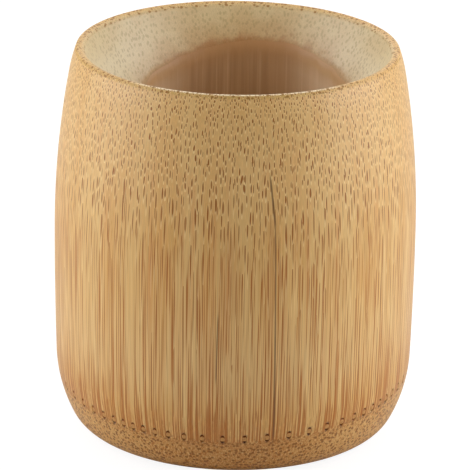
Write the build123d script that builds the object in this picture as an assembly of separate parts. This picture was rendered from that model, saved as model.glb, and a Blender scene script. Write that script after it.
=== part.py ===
from build123d import *

import os
from math import atan, cos, radians, sin, sqrt, tan

# Driving dimensions, in millimetres and degrees

# Turned outside, from the foot to the lip
cup_height = 87.3
belly_radius = 40.0
belly_height = 46.3
rim_inset = 4.5
rim_lean = 20.0
shoulder_lean = 10.0
flank_height = 17.2
flank_inset = 0.5
heel_lean = 27.0
foot_inset = 10.4

# Lip and mouth
lip_round = 0.5
lip_slope = 20.0
lip_land = 1.2
lip_inner_round = 0.8
mouth_lean = 26.5
mouth_overrun = 1.0

# Natural hollow of the culm, which lies off the turning axis
wall_thickness = 15.5
hollow_offset_x = 1.0
hollow_offset_y = 5.5
hollow_corner = 9.0
skin_thickness = 0.7

# Natural floor of the culm and the foot under it
septum_thickness = 5.0
septum_seat_lean = 8.0
recess_depth = 2.0
recess_round = 0.8
foot_ring_width = 6.6

# Ring of root buds in the node above the foot
bud_count = 64
bud_width = 1.2
bud_height = 2.2
bud_depth = 3.0
bud_drift = 4.4
bud_drift_waves = 4
bud_drift_angle = 33.0
node_height = 14.0
node_rise = 4.0
node_low_angle = -14.0

# Sizes that follow from them
rim_radius = belly_radius - rim_inset
foot_radius = belly_radius - foot_inset
hollow_radius = belly_radius - wall_thickness
hollow_offset = sqrt(hollow_offset_x**2 + hollow_offset_y**2)
floor_height = recess_depth + septum_thickness
septum_top_radius = hollow_radius - hollow_corner
flank_lean = 2 * atan(flank_inset / (belly_height - flank_height))

hollow_place = Pos(hollow_offset_x, hollow_offset_y, floor_height)
foot_up = (Align.CENTER, Align.CENTER, Align.MIN)


def two_arc_radii(width, length, leans):
    """Radii of two tangent arcs that close in by width over length, while the side's lean goes through leans."""
    first, middle, last = leans
    near_width = cos(first) - cos(middle)
    far_width = cos(middle) - cos(last)
    near_length = sin(middle) - sin(first)
    far_length = sin(last) - sin(middle)
    whole = near_width * far_length - far_width * near_length
    near_radius = (width * far_length - far_width * length) / whole
    far_radius = (near_width * length - width * near_length) / whole
    return near_radius, far_radius


# Circle that rounds the crest of the lip, and the points where the side and the land leave it
crest_centre = Vector(rim_radius - lip_round, cup_height - lip_round)
rim_point = crest_centre + lip_round * Vector(cos(radians(rim_lean)), sin(radians(rim_lean)))
land_start = crest_centre + lip_round * Vector(-sin(radians(lip_slope)), cos(radians(lip_slope)))
land_end = land_start - lip_land * Vector(cos(radians(lip_slope)), sin(radians(lip_slope)))

# The mouth's cone runs down until it lies inside the hollow all round
mouth_end_radius = hollow_radius - hollow_offset - skin_thickness - mouth_overrun
mouth_depth = (land_end.X - mouth_end_radius) / tan(radians(mouth_lean))
mouth_end = Vector(mouth_end_radius, land_end.Y - mouth_depth)

# Two arcs lead from the belly up to the rim
belly_point = Vector(belly_radius, belly_height)
upper_leans = (0.0, radians(shoulder_lean), radians(rim_lean))
upper_radius = two_arc_radii(
    belly_radius - rim_point.X, rim_point.Y - belly_height, upper_leans
)[0]
shoulder_point = belly_point + upper_radius * Vector(
    cos(upper_leans[1]) - 1, sin(upper_leans[1])
)

# Below the belly the side is almost straight, then two arcs turn it under to the foot
flank_point = Vector(belly_radius - flank_inset, flank_height)
foot_point = Vector(foot_radius, 0)
heel_leans = (flank_lean, radians(heel_lean), radians(90))
flank_radius, heel_radius = two_arc_radii(flank_point.X - foot_radius, flank_height, heel_leans)
heel_point = foot_point + heel_radius * Vector(cos(heel_leans[1]), 1 - sin(heel_leans[1]))


def outside_radius(height):
    """Radius of the turned outside at a height between the foot and the belly."""
    if height < heel_point.Y:
        centre, radius = foot_point + Vector(0, heel_radius), heel_radius
    elif height < flank_height:
        lean = heel_leans[1]
        centre = heel_point - flank_radius * Vector(cos(lean), -sin(lean))
        radius = flank_radius
    else:
        radius = flank_inset / (1 - cos(flank_lean))
        centre = belly_point - Vector(radius, 0)
    return centre.X + sqrt(radius**2 - (height - centre.Y) ** 2)


def turned_blank():
    """The turned cup before its hollow is opened: full below the mouth's cone."""
    with BuildPart() as blank:
        with BuildSketch(Plane.XZ):
            with BuildLine():
                heel = TangentArc(foot_point, heel_point, tangent=(1, 0))
                flank = TangentArc(heel @ 1, flank_point, tangent=heel % 1)
                lower_side = TangentArc(flank @ 1, belly_point, tangent=flank % 1)
                upper_side = TangentArc(lower_side @ 1, shoulder_point, tangent=(0, 1))
                shoulder = TangentArc(upper_side @ 1, rim_point, tangent=upper_side % 1)
                TangentArc(shoulder @ 1, land_start, tangent=shoulder % 1)
                FilletPolyline(land_start, land_end, mouth_end, radius=lip_inner_round)
                Polyline(mouth_end, (0, mouth_end.Y), (0, 0), foot_point)
            make_face()
        revolve(axis=Axis.Z)
    return blank.part


def rounded_well(radius, corner, depth):
    """A round well with a rounded bottom edge, standing on the origin."""
    well = Cylinder(radius, depth, align=foot_up)
    return fillet(well.edges().group_by(Axis.Z)[0], corner)


def septum_disc():
    """The culm's natural floor, a disc whose leaning edge sits in the wall."""
    bottom_radius = septum_top_radius + septum_thickness * tan(radians(septum_seat_lean))
    disc = Cone(bottom_radius, septum_top_radius, septum_thickness, align=foot_up)
    return Pos(hollow_offset_x, hollow_offset_y, recess_depth) * disc


def foot_recess():
    """The shallow turned recess inside the foot ring."""
    recess = Cylinder(foot_radius - foot_ring_width, recess_depth, align=foot_up)
    return fillet(recess.edges().group_by(Axis.Z)[-1], recess_round)


def bud_peg(index):
    """One root bud: an oval peg pointing straight out through the node, cut long at its outer end."""
    even = index * 360 / bud_count
    angle = even + bud_drift * cos(radians(bud_drift_waves * (even - bud_drift_angle)))
    height = node_height - node_rise * cos(radians(angle - node_low_angle))
    outward = Vector(sin(radians(angle)), -cos(radians(angle)), 0)
    side = Vector(cos(radians(angle)), sin(radians(angle)), 0)
    root = outward * (outside_radius(height) - bud_depth) + Vector(0, 0, height)
    oval = Plane(origin=root, x_dir=side, z_dir=outward) * Ellipse(bud_width / 2, bud_height / 2)
    return extrude(oval, amount=2 * bud_depth, dir=outward)


blank = turned_blank()
well_depth = cup_height - floor_height
hollow = hollow_place * rounded_well(hollow_radius, hollow_corner, well_depth)
inside_well = rounded_well(
    hollow_radius - skin_thickness, hollow_corner - skin_thickness, well_depth
)
inside = hollow_place * Pos(0, 0, skin_thickness) * inside_well
septum = septum_disc()
pegs = [bud_peg(index) for index in range(bud_count)]

inner_skin = (hollow & blank) - inside
plain_wall = blank - hollow - foot_recess() - septum
root_buds = Compound(children=[(plain_wall & peg).solid() for peg in pegs])
cup_wall = plain_wall - pegs

nodes = {
    "cup_wall": cup_wall,
    "inner_skin": inner_skin,
    "floor_septum": septum,
    "root_buds": root_buds,
}

os.makedirs("parts", exist_ok=True)
for name, shape in nodes.items():
    export_step(shape, f"parts/{name}.step")
    print(name, round(shape.volume, 1), shape.bounding_box().size)
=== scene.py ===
"""Looks of a bamboo cup turned from one butt length of culm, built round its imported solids."""
import logging
from dataclasses import dataclass
from enum import Enum, IntEnum
from functools import partial, reduce
from math import atan, atan2, copysign, cos, pi, radians, sin, sqrt, tan

import bmesh
import bpy
from mathutils import Matrix, Vector, noise


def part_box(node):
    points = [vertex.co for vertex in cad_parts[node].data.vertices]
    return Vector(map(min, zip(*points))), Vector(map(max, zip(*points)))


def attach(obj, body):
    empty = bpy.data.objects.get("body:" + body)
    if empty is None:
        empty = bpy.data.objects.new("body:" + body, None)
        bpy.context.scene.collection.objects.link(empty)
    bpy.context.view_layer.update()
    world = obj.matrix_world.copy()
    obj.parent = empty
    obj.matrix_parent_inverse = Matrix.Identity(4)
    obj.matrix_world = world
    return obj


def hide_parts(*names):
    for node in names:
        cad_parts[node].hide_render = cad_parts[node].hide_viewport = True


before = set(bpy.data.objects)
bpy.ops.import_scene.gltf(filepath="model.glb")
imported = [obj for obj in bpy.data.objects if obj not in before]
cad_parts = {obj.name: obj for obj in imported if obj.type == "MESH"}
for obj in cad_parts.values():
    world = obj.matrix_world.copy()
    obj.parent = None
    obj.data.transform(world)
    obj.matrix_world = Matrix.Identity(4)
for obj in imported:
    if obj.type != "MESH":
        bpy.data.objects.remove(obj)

MM = 0.001
FULL_TURN = 2 * pi
QUARTER_TURN = pi / 2
# Millimetres by which heights may differ and still be the same, and within which vertices merge
CLOSE = 1e-4
WELD_DISTANCE = 1e-3
# Takes the height out of a vector that it multiplies
FLAT = (1, 1, 0)
# A noise's mean in each of its three numbers
NOISE_MIDDLE = (0.5, 0.5, 0.5)
# Strength of a finer noise that is added to a coarse one
FINER_SHARE = 0.5
BODY = "root"
log = logging.getLogger("bamboo_cup")

Mesh = bmesh.types.BMesh
Vert = bmesh.types.BMVert
Edge = bmesh.types.BMEdge
Face = bmesh.types.BMFace
VertMark = bmesh.types.BMLayerItem
Material = bpy.types.Material
Node = bpy.types.Node
SceneObject = bpy.types.Object
Socket = bpy.types.NodeSocket
Colour = tuple[float, float, float, float]


def srgb(red: float, green: float, blue: float) -> Colour:
    """Turns a display colour into the linear colour that a shader takes.

    Args:
        red: red from 0 to 255.
        green: green from 0 to 255.
        blue: blue from 0 to 255.

    Returns:
        The linear colour with an alpha of 1.
    """
    shares = [value / 255 for value in (red, green, blue)]
    linear = [s / 12.92 if s <= 0.04045 else ((s + 0.055) / 1.055) ** 2.4 for s in shares]
    return (*linear, 1.0)


def heading(angle: float) -> Vector:
    """Level unit vector at an angle from the x axis."""
    return Vector((cos(angle), sin(angle), 0.0))


STAIN = srgb(186, 122, 60)
VEIN_BROWN = srgb(112, 72, 30)
VESSEL_PALE = srgb(246, 214, 150)


class Region(IntEnum):
    """The stretch of the wall's section that a vertex belongs to."""

    OUTSIDE = 0
    MOUTH = 1
    HOLLOW = 2
    FLOOR = 3


class Depth(IntEnum):
    """The face of the inner skin that a vertex belongs to."""

    BACK = 0
    FACE = 1
    FLOOR = 2


class Zone(Enum):
    """A part of the wall where the lathe cut the bundles across."""

    MOUTH = "mouth"
    LIP = "lip"
    HEEL = "heel"


@dataclass(frozen=True)
class Fade:
    """How a number eases from low to high while a measure runs from start to end, up or down."""

    start: float
    end: float
    low: float = 0.0
    high: float = 1.0


@dataclass(frozen=True)
class Weave:
    """A noise in the grain: its waves in a millimetre across and along, and its finer octaves."""

    across: float
    along: float
    detail: float = 2.0
    roughness: float = 0.5


class NodeGraph:
    """The node tree of a material or a world, with short calls for the nodes that the finishes share."""

    def __init__(self, owner: Material | bpy.types.World) -> None:
        """Empties the tree.

        Args:
            owner: the new material or world.
        """
        owner.use_nodes = True
        self.owner = owner
        self.tree = owner.node_tree
        self.tree.nodes.clear()

    def node(self, kind: str, feeds: dict | None = None, **settings: object) -> Node:
        """Adds a node.

        Args:
            kind: the node's type name.
            feeds: input name or index to a socket or a constant.
            **settings: properties of the node.

        Returns:
            The new node.
        """
        made = self.tree.nodes.new(kind)
        for key, value in settings.items():
            setattr(made, key, value)
        for key, value in (feeds or {}).items():
            if isinstance(value, Socket):
                self.tree.links.new(value, made.inputs[key])
            else:
                made.inputs[key].default_value = value
        return made

    def math(self, operation: str, *values: Socket | float) -> Socket:
        """Adds a Math node and returns its result."""
        return self.node("ShaderNodeMath", dict(enumerate(values)), operation=operation).outputs[0]

    def product(self, *values: Socket | float) -> Socket:
        """Multiplies numbers, the first of which is a socket."""
        return reduce(partial(self.math, "MULTIPLY"), values)

    def vector(self, operation: str, *values: Socket | tuple, result: str = "Vector") -> Socket:
        """Adds a Vector Math node and returns its vector, or its number where that is the result."""
        made = self.node("ShaderNodeVectorMath", dict(enumerate(values)), operation=operation)
        return made.outputs[result]

    def length(self, vector: Socket) -> Socket:
        """Returns a vector's length."""
        return self.vector("LENGTH", vector, result="Value")

    def scaled(self, vector: Socket, factor: Socket | float) -> Socket:
        """Returns a vector times a number."""
        feeds = {"Vector": vector, "Scale": factor}
        return self.node("ShaderNodeVectorMath", feeds, operation="SCALE").outputs["Vector"]

    def place(self) -> Socket:
        """Returns the place on the piece, in millimetres."""
        return self.scaled(self.node("ShaderNodeTexCoord").outputs["Object"], 1 / MM)

    def axis(self, vector: Socket, name: str) -> Socket:
        """Returns a vector's X, Y or Z."""
        return self.node("ShaderNodeSeparateXYZ", {0: vector}).outputs[name]

    def bearing(self, vector: Socket) -> Socket:
        """Returns a place's angle from the front, to the right, in radians."""
        return self.math("ARCTAN2", self.axis(vector, "X"), self.product(self.axis(vector, "Y"), -1.0))

    def attribute(self, name: str) -> Socket:
        """Returns a number that the mesh carries."""
        return self.node("ShaderNodeAttribute", attribute_name=name).outputs["Fac"]

    def step(self, value: Socket, fade: Fade, shape: str = "SMOOTHSTEP") -> Socket:
        """Eases a number from one level to another.

        Args:
            value: the number read.
            fade: where the result leaves the low level and reaches the high one.
            shape: the way it runs between them.

        Returns:
            The eased number.
        """
        names = ("Value", "From Min", "From Max", "To Min", "To Max")
        feeds = dict(zip(names, (value, fade.start, fade.end, fade.low, fade.high)))
        return self.node("ShaderNodeMapRange", feeds, interpolation_type=shape).outputs["Result"]

    def spread(self, value: Socket, low: float, high: float) -> Socket:
        """Stretches a share from 0 to 1 over a range."""
        return self.math("MULTIPLY_ADD", value, high - low, low)

    def mix(self, share: Socket | float, first: Socket | Colour, second: Socket | Colour) -> Socket:
        """Mixes two colours.

        Args:
            share: how much of the second colour shows.
            first: the colour below.
            second: the colour above.

        Returns:
            The mixed colour.
        """
        feeds = {0: share, 6: first, 7: second}
        return self.node("ShaderNodeMix", feeds, data_type="RGBA").outputs[2]

    def noise_node(self, vector: Socket, weave: Weave) -> Node:
        """Adds a Noise Texture that reads a stretched place.

        Args:
            vector: the place, in millimetres.
            weave: the noise's waves.

        Returns:
            The noise node.
        """
        stretched = self.vector("MULTIPLY", vector, (weave.across, weave.across, weave.along))
        feeds = {"Vector": stretched, "Scale": 1.0, "Detail": weave.detail, "Roughness": weave.roughness}
        return self.node("ShaderNodeTexNoise", feeds)

    def noise(self, vector: Socket, weave: Weave) -> Socket:
        """Adds a Noise Texture and returns its number."""
        return self.noise_node(vector, weave).outputs["Fac"]

    def finish(self, colour: Socket, roughness: Socket, relief: Socket, relief_depth: float,
               shine: float, coat: float, coat_roughness: float = 0.35) -> Material:
        """Ends the tree in a Principled shader.

        Args:
            colour: the surface colour.
            roughness: the surface roughness.
            relief: height of the fine relief, from 0 to 1.
            relief_depth: depth of that relief, in millimetres.
            shine: specular level.
            coat: weight of the clear oil coat.
            coat_roughness: roughness of that coat.

        Returns:
            The finished material.
        """
        bump = self.node("ShaderNodeBump", {"Strength": 1.0, "Distance": relief_depth * MM, "Height": relief})
        feeds = {"Base Color": colour, "Roughness": roughness, "Normal": bump.outputs["Normal"],
                 "Specular IOR Level": shine, "Coat Weight": coat, "Coat Roughness": coat_roughness}
        shader = self.node("ShaderNodeBsdfPrincipled", feeds)
        self.node("ShaderNodeOutputMaterial", {"Surface": shader.outputs["BSDF"]})
        return self.owner


@dataclass(frozen=True)
class TurnedOutline:
    """The turned outside, lip and mouth of the cup, in millimetres and degrees."""

    height: float
    belly_radius: float
    belly_height: float = 46.3
    rim_inset: float = 4.5
    rim_lean: float = 20.0
    shoulder_lean: float = 10.0
    flank_height: float = 17.2
    flank_inset: float = 0.5
    heel_lean: float = 27.0
    foot_inset: float = 10.4
    lip_round: float = 0.5
    lip_slope: float = 20.0
    lip_land: float = 1.2
    lip_inner_round: float = 0.8
    mouth_lean: float = 26.5

    @classmethod
    def from_frame(cls) -> "TurnedOutline":
        """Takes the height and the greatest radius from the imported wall."""
        low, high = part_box("cup_wall")
        return cls(height=(high.z - low.z) / MM, belly_radius=high.x / MM)

    @staticmethod
    def two_arc_radii(width: float, length: float, leans: tuple[float, float, float]) -> tuple[float, float]:
        """Finds the radii of two tangent arcs.

        Args:
            width: how far the two arcs close in.
            length: how far they run up or down.
            leans: the side's lean at the start, where the arcs meet and at the end, in radians.

        Returns:
            The radius of the first and of the second arc.
        """
        first, middle, last = leans
        near_width, far_width = cos(first) - cos(middle), cos(middle) - cos(last)
        near_length, far_length = sin(middle) - sin(first), sin(last) - sin(middle)
        whole = near_width * far_length - far_width * near_length
        near_radius = (width * far_length - far_width * length) / whole
        return near_radius, (near_width * length - width * near_length) / whole

    @property
    def foot_radius(self) -> float:
        """Outer radius of the flat foot."""
        return self.belly_radius - self.foot_inset

    @property
    def flank_turn(self) -> float:
        """Lean of the side where the almost straight stretch ends, in radians."""
        return 2 * atan(self.flank_inset / (self.belly_height - self.flank_height))

    @property
    def lower_radius(self) -> float:
        """Radius of the almost straight side under the belly."""
        return self.flank_inset / (1 - cos(self.flank_turn))

    @property
    def heel_radii(self) -> tuple[float, float]:
        """Radii of the two arcs under the side.

        Returns:
            The radius of the flank and of the heel.
        """
        leans = (self.flank_turn, radians(self.heel_lean), QUARTER_TURN)
        width = self.belly_radius - self.flank_inset - self.foot_radius
        return self.two_arc_radii(width, self.flank_height, leans)

    @property
    def heel_top(self) -> Vector:
        """Radius and height of the point where the flank meets the heel."""
        lean, heel = radians(self.heel_lean), self.heel_radii[1]
        return Vector((self.foot_radius + heel * cos(lean), heel * (1 - sin(lean))))

    @property
    def crest(self) -> Vector:
        """Centre of the circle that rounds the lip's crest, as radius and height."""
        return Vector((self.belly_radius - self.rim_inset - self.lip_round, self.height - self.lip_round))

    @property
    def upper_radii(self) -> tuple[float, float]:
        """Radii of the two arcs above the belly.

        Returns:
            The radius of the upper side and of the shoulder.
        """
        lean = radians(self.rim_lean)
        rim = self.crest + self.lip_round * heading(lean).xy
        leans = (0.0, radians(self.shoulder_lean), lean)
        return self.two_arc_radii(self.belly_radius - rim.x, rim.y - self.belly_height, leans)

    @property
    def mouth_edge(self) -> Vector:
        """The corner that the lip's inner round takes off.

        Returns:
            Radius and height of the point where the lip's land and the mouth's cone would meet.
        """
        slope = radians(self.lip_slope)
        start = self.crest + self.lip_round * Vector((-sin(slope), cos(slope)))
        return start - self.lip_land * heading(slope).xy

    def mouth_height(self, radius: float) -> float:
        """Height of the mouth's cone at a radius."""
        edge = self.mouth_edge
        return edge.y - (edge.x - radius) / tan(radians(self.mouth_lean))

    def outside_radius(self, height: float) -> float:
        """Radius of the turned outside at a height below the belly.

        Args:
            height: height above the foot.

        Returns:
            The radius there.
        """
        flank, heel = self.heel_radii
        lean = radians(self.heel_lean)
        if height < self.heel_top.y:
            radius = heel
            centre = Vector((self.foot_radius, heel))
        elif height < self.flank_height:
            radius = flank
            centre = self.heel_top - flank * Vector((cos(lean), -sin(lean)))
        else:
            radius = self.lower_radius
            centre = Vector((self.belly_radius - radius, self.belly_height))
        return centre.x + sqrt(radius**2 - (height - centre.y) ** 2)


@dataclass(frozen=True)
class NaturalHollow:
    """The culm's own hollow, which lies off the turning axis, in millimetres and degrees."""

    centre: Vector
    radius: float
    corner: float = 9.0
    skin: float = 0.7
    floor: float = 7.0
    seat_bottom: float = 2.0
    seat_lean: float = 8.0
    swell: float = 0.45
    swell_waves: float = 1.6
    swell_layer: float = 4.2
    ripple: float = 0.26
    ripple_waves: float = 6.0
    ripple_layer: float = 9.1
    reach_rounds: int = 4

    @classmethod
    def from_frame(cls) -> "NaturalHollow":
        """Takes the hollow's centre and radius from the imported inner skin.

        Returns:
            The hollow.
        """
        low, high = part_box("inner_skin")
        middle = (low + high) / 2 / MM
        return cls(centre=Vector((middle.x, middle.y, 0)), radius=(high.x - low.x) / 2 / MM)

    @property
    def septum_radius(self) -> float:
        """Radius of the flat floor, where the septum's top edge lies."""
        return self.radius - self.corner

    @property
    def seat_radius(self) -> float:
        """Radius of the septum's underside, which its leaning edge makes wider."""
        rise = self.floor - self.seat_bottom
        return self.septum_radius + rise * tan(radians(self.seat_lean))

    @property
    def corner_top(self) -> float:
        """Height at which the rounded corner of the floor ends."""
        return self.floor + self.corner

    def radius_at(self, angle: float) -> float:
        """Radius of the grown hollow, which is never quite round.

        Args:
            angle: angle about the hollow's own centre, in radians.

        Returns:
            The radius there.
        """
        ring = heading(angle)
        slow = noise.noise(ring * self.swell_waves + Vector((0, 0, self.swell_layer)))
        quick = noise.noise(ring * self.ripple_waves + Vector((0, 0, self.ripple_layer)))
        return self.radius + self.swell * slow + self.ripple * quick

    def reach(self, angle: float) -> float:
        """Distance from the turning axis to the hollow's wall.

        Args:
            angle: angle about the turning axis, in radians.

        Returns:
            The distance in that direction.
        """
        away = heading(angle)
        along = away.dot(self.centre)
        distance = self.radius
        for _ in range(self.reach_rounds):
            from_centre = away * distance - self.centre
            wide = self.radius_at(atan2(from_centre.y, from_centre.x))
            distance = along + sqrt(wide**2 - self.centre.length_squared + along**2)
        return distance


@dataclass(frozen=True)
class BudRing:
    """Where the root buds lie round the node, in millimetres and degrees."""

    count: int = 64
    width: float = 1.2
    height: float = 2.2
    drift: float = 4.4
    drift_waves: int = 4
    drift_angle: float = 33.0
    node_height: float = 14.0
    node_rise: float = 4.0
    low_angle: float = -14.0
    probe: float = 0.1

    def place(self, index: int, outline: TurnedOutline) -> Matrix:
        """Frame on the wall's surface at one bud.

        Args:
            index: the bud's number round the ring.
            outline: the turned outside that the bud was cut by.

        Returns:
            A matrix whose x runs round the cup, y up the surface and z outwards.
        """
        even = index * 360 / self.count
        drifted = even + self.drift * cos(radians(self.drift_waves * (even - self.drift_angle)))
        angle = radians(drifted)
        height = self.node_height - self.node_rise * cos(angle - radians(self.low_angle))
        rise = outline.outside_radius(height + self.probe) - outline.outside_radius(height - self.probe)
        out = Vector((sin(angle), -cos(angle), 0))
        side = heading(angle)
        up = (out * rise + Vector((0, 0, 2 * self.probe))).normalized()
        matrix = Matrix((side, up, side.cross(up))).transposed().to_4x4()
        matrix.translation = out * outline.outside_radius(height) + Vector((0, 0, height))
        return matrix


class OutlineTracer:
    """Draws a turned section as a chain of edges that leaves its tip along a known direction."""

    def __init__(self, mesh: Mesh, start: Vector, facing: float) -> None:
        """Starts a section.

        Args:
            mesh: the mesh that takes the section.
            start: radius and height of the first point.
            facing: angle of the outward normal there, in radians above the horizontal.
        """
        self.mesh = mesh
        self.region = mesh.verts.layers.int.get("region") or mesh.verts.layers.int.new("region")
        self.facing = facing
        self.tip = mesh.verts.new((start.x, 0, start.y))

    def mark(self, verts: list[Vert], region: IntEnum) -> None:
        """Marks the region of new vertices and moves the tip to the last of them.

        Args:
            verts: the new vertices, in order.
            region: the region that they belong to.
        """
        for vert in verts:
            vert[self.region] = region
        self.tip = verts[-1]

    def arc(self, radius: float, turn: float, steps: int, region: IntEnum = Region.OUTSIDE) -> None:
        """Adds a tangent arc.

        Args:
            radius: the arc's radius; a negative one bends the other way.
            turn: how far the normal turns, in radians.
            steps: edges along the arc.
            region: the region that its vertices belong to.
        """
        normal = Vector((cos(self.facing), 0, sin(self.facing)))
        centre = self.tip.co - radius * normal
        before = len(self.mesh.verts)
        bmesh.ops.spin(self.mesh, geom=[self.tip], cent=centre, axis=(0, -1, 0),
                       angle=copysign(turn, radius), steps=steps, use_duplicate=False)
        self.mesh.verts.ensure_lookup_table()
        self.mark(self.mesh.verts[before:], region)
        self.facing += copysign(turn, radius)

    def line(self, radius: float, height: float, steps: int = 1, region: IntEnum = Region.OUTSIDE) -> None:
        """Adds a straight stretch.

        Args:
            radius: radius of its end.
            height: height of its end.
            steps: edges along it.
            region: the region that its vertices belong to.
        """
        stride = (Vector((radius, 0, height)) - self.tip.co) / steps
        for _ in range(steps):
            made = bmesh.ops.extrude_vert_indiv(self.mesh, verts=[self.tip])["verts"]
            bmesh.ops.translate(self.mesh, verts=made, vec=stride)
            self.mark(made, region)
        self.facing = atan2(-stride.x, stride.z)


def turn_on_lathe(mesh: Mesh, columns: int, doublings: int = 6) -> None:
    """Spins a section into a body of revolution: one narrow sector, copied round until it closes.

    Args:
        mesh: the mesh that holds the section in its x-z plane.
        columns: columns round the axis, a multiple of the number of sectors.
        doublings: how often the sector is doubled.
    """
    sectors = 2**doublings
    bmesh.ops.spin(mesh, geom=mesh.verts[:] + mesh.edges[:], cent=(0, 0, 0), axis=(0, 0, 1),
                   angle=FULL_TURN / sectors, steps=columns // sectors, use_duplicate=False)
    for doubling in range(doublings):
        copied = bmesh.ops.duplicate(mesh, geom=mesh.verts[:] + mesh.edges[:] + mesh.faces[:])["geom"]
        verts = [item for item in copied if isinstance(item, Vert)]
        turn = Matrix.Rotation(FULL_TURN / sectors * 2**doubling, 3, "Z")
        bmesh.ops.rotate(mesh, verts=verts, cent=(0, 0, 0), matrix=turn)
    weld(mesh)


def weld(mesh: Mesh) -> None:
    """Merges the vertices that meet and turns every face outwards."""
    bmesh.ops.remove_doubles(mesh, verts=mesh.verts[:], dist=WELD_DISTANCE)
    bmesh.ops.recalc_face_normals(mesh, faces=mesh.faces[:])


def join(mesh: Mesh, other: Mesh) -> None:
    """Adds another mesh to a mesh and welds the two.

    Args:
        mesh: the mesh that grows.
        other: the mesh that is added and freed.
    """
    carrier = bpy.data.meshes.new("carrier")
    other.to_mesh(carrier)
    other.free()
    mesh.from_mesh(carrier)
    bpy.data.meshes.remove(carrier)
    weld(mesh)


def ring_edges(verts: list[Vert]) -> list[Edge]:
    """Every edge that meets the vertices of a ring, each once."""
    return list({edge for vert in verts for edge in vert.link_edges})


def push_ring(mesh: Mesh, edges: list[Edge], move: Vector, shrink: float,
              centre: Vector | None = None) -> tuple[list[Vert], list[Edge]]:
    """Extrudes a ring of edges along a move and closes it in.

    Args:
        mesh: the mesh that holds the ring.
        edges: the ring's edges.
        move: how far and where it goes.
        shrink: its new size as a share of the old one.
        centre: the point that it closes in on, or else its own middle.

    Returns:
        The vertices and the edges of the new ring.
    """
    made = bmesh.ops.extrude_edge_only(mesh, edges=edges)["geom"]
    verts = [item for item in made if isinstance(item, Vert)]
    ring = [item for item in made if isinstance(item, Edge)
            and all(vert in verts for vert in item.verts)]
    bmesh.ops.translate(mesh, verts=verts, vec=move)
    if centre is None:
        centre = sum((vert.co for vert in verts), Vector()) / len(verts)
    bmesh.ops.scale(mesh, verts=verts, vec=(shrink,) * 3, space=Matrix.Translation(-centre))
    return verts, ring


def add_object(name: str, data: bpy.types.ID) -> SceneObject:
    """Adds a mesh, lamp or camera to the scene.

    Args:
        name: the object's name.
        data: what it holds.

    Returns:
        The object.
    """
    made = bpy.data.objects.new(name, data)
    bpy.context.scene.collection.objects.link(made)
    return made


def settle(mesh: Mesh, name: str, material: Material) -> SceneObject:
    """Turns a finished mesh into an object of one material.

    Args:
        mesh: the mesh, which is freed.
        name: the object's name.
        material: its material.

    Returns:
        The object.
    """
    data = bpy.data.meshes.new(name)
    mesh.to_mesh(data)
    mesh.free()
    data.materials.append(material)
    return add_object(name, data)


def make_piece(mesh: Mesh, name: str, node: str, material: Material,
               sharp: float = 40.0) -> SceneObject:
    """Turns a finished mesh in millimetres into a piece of the cup.

    Args:
        mesh: the mesh, which is freed.
        name: the piece's name.
        node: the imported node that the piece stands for.
        material: the finish.
        sharp: faces that meet at more than this angle keep a crisp edge, in degrees.

    Returns:
        The piece, which rides on the cup's body.
    """
    bmesh.ops.scale(mesh, verts=mesh.verts[:], vec=(MM, MM, MM))
    for face in mesh.faces:
        face.smooth = True
    piece = settle(mesh, name, material)
    piece.data.set_sharp_from_angle(angle=radians(sharp))
    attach(piece, BODY)
    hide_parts(node)
    return piece


@dataclass(frozen=True)
class GrainFields:
    """What the grain tells a finish about a place, each as a socket of one graph.

    place is in millimetres, and upright is the same with the side drawn straight below the belly.
    aside is the distance from the middle of the front, bearing the angle from there, reach the distance
    from the turning axis and depth the distance outwards from the hollow. cap, rim and vessel mask the
    bundles, rim being a painted highlight round each cut, and chance and tint are random numbers of the
    nearest one.
    """

    graph: NodeGraph
    place: Socket
    upright: Socket
    aside: Socket
    bearing: Socket
    reach: Socket
    height: Socket
    depth: Socket
    above_node: Socket
    zones: dict[Zone, Socket]
    cap: Socket
    rim: Socket
    vessel: Socket
    chance: Socket
    tint: Socket


@dataclass(frozen=True)
class Spindle:
    """A pointed oval across a bundle: half width in millimetres, the rest in rows of bundles."""

    place: float
    half_length: float
    half_width: float

    def measure(self, graph: NodeGraph, along: Socket, aside: Socket, size: Socket) -> Socket:
        """Measures a place against the spindle.

        Args:
            graph: the material's node graph.
            along: offset from the bundle's centre along the radius, in rows of bundles.
            aside: offset from the bundle's centre round the cup, in millimetres.
            size: scale of this bundle's width.

        Returns:
            A number that is 0 at the spindle's centre and 1 on its outline.
        """
        along = graph.math("ABSOLUTE", graph.math("SUBTRACT", along, self.place))
        long_share = graph.math("POWER", graph.math("DIVIDE", along, self.half_length), 2.0)
        wide = graph.product(size, self.half_width)
        return graph.math("ADD", long_share, graph.math("DIVIDE", graph.math("ABSOLUTE", aside), wide))


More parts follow.
